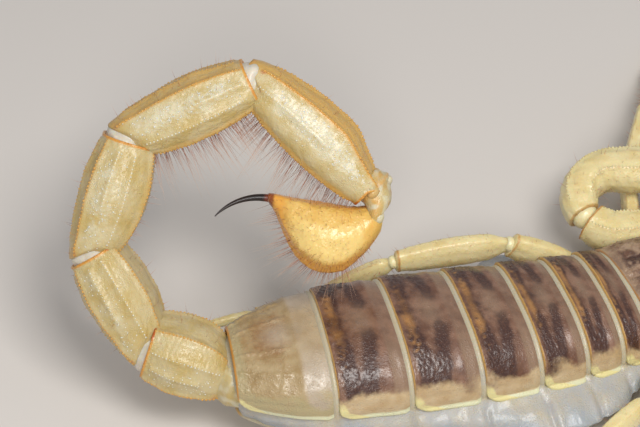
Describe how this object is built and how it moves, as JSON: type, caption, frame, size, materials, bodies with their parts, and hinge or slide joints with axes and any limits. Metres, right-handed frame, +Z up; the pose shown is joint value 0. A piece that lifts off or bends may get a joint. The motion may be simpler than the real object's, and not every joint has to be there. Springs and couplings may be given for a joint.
{
  "type": "desert scorpion",
  "caption": "Pale yellow desert scorpion with a brown banded back, standing, its tail raised and curled forward over its left side.",
  "frame": {"origin": "on the floor, under the middle of the whole animal's box", "axes": "+X points where the head points, +Y to the animal's left, +Z up; the floor is z = 0"},
  "size_m": [0.0878, 0.0772, 0.0311],
  "materials": {
    "back_brown": "brown granulate back plates with cream edges, satin",
    "tail_straw": "straw shell with amber keels, satin, slightly see-through",
    "telson_amber": "glossy warm yellow shell, amber at its edges",
    "sting_black": "polished black-brown",
    "limb_yellow": "pale yellow shell with amber edges, satin",
    "chelicera_amber": "satin amber shell",
    "comb_cream": "soft matt cream",
    "eye_black": "wet black"
  },
  "bodies": {
    "root": {"eye_median_left": "eye_black", "eyes_lateral_left": "eye_black", "eye_median_right": "eye_black", "eyes_lateral_right": "eye_black", "prosoma": "back_brown", "mesosoma_1": "back_brown", "mesosoma_2": "back_brown", "mesosoma_3": "back_brown", "mesosoma_4": "back_brown", "mesosoma_5": "back_brown", "mesosoma_6": "back_brown", "mesosoma_7": "back_brown", "genital_operculum": "comb_cream", "metasoma_1": "tail_straw", "metasoma_2": "tail_straw", "metasoma_3": "tail_straw", "metasoma_4": "tail_straw", "metasoma_5": "tail_straw", "telson_vesicle": "telson_amber", "aculeus": "sting_black", "chelicera_left": "chelicera_amber", "pecten_left": "comb_cream", "pedipalp_left_trochanter": "limb_yellow", "pedipalp_left_femur": "limb_yellow", "pedipalp_left_patella": "limb_yellow", "pedipalp_left_chela": "limb_yellow", "pedipalp_left_movable_finger": "limb_yellow", "leg_1_left_femur": "limb_yellow", "leg_1_left_patella": "limb_yellow", "leg_1_left_tarsus": "limb_yellow", "leg_2_left_femur": "limb_yellow", "leg_2_left_patella": "limb_yellow", "leg_2_left_tarsus": "limb_yellow", "leg_3_left_femur": "limb_yellow", "leg_3_left_patella": "limb_yellow", "leg_3_left_tarsus": "limb_yellow", "leg_4_left_femur": "limb_yellow", "leg_4_left_patella": "limb_yellow", "leg_4_left_tarsus": "limb_yellow", "chelicera_right": "chelicera_amber", "pecten_right": "comb_cream", "pedipalp_right_trochanter": "limb_yellow", "pedipalp_right_femur": "limb_yellow", "pedipalp_right_patella": "limb_yellow", "pedipalp_right_chela": "limb_yellow", "pedipalp_right_movable_finger": "limb_yellow", "leg_1_right_femur": "limb_yellow", "leg_1_right_patella": "limb_yellow", "leg_1_right_tarsus": "limb_yellow", "leg_2_right_femur": "limb_yellow", "leg_2_right_patella": "limb_yellow", "leg_2_right_tarsus": "limb_yellow", "leg_3_right_femur": "limb_yellow", "leg_3_right_patella": "limb_yellow", "leg_3_right_tarsus": "limb_yellow", "leg_4_right_femur": "limb_yellow", "leg_4_right_patella": "limb_yellow", "leg_4_right_tarsus": "limb_yellow"}
  },
  "joints": []
}
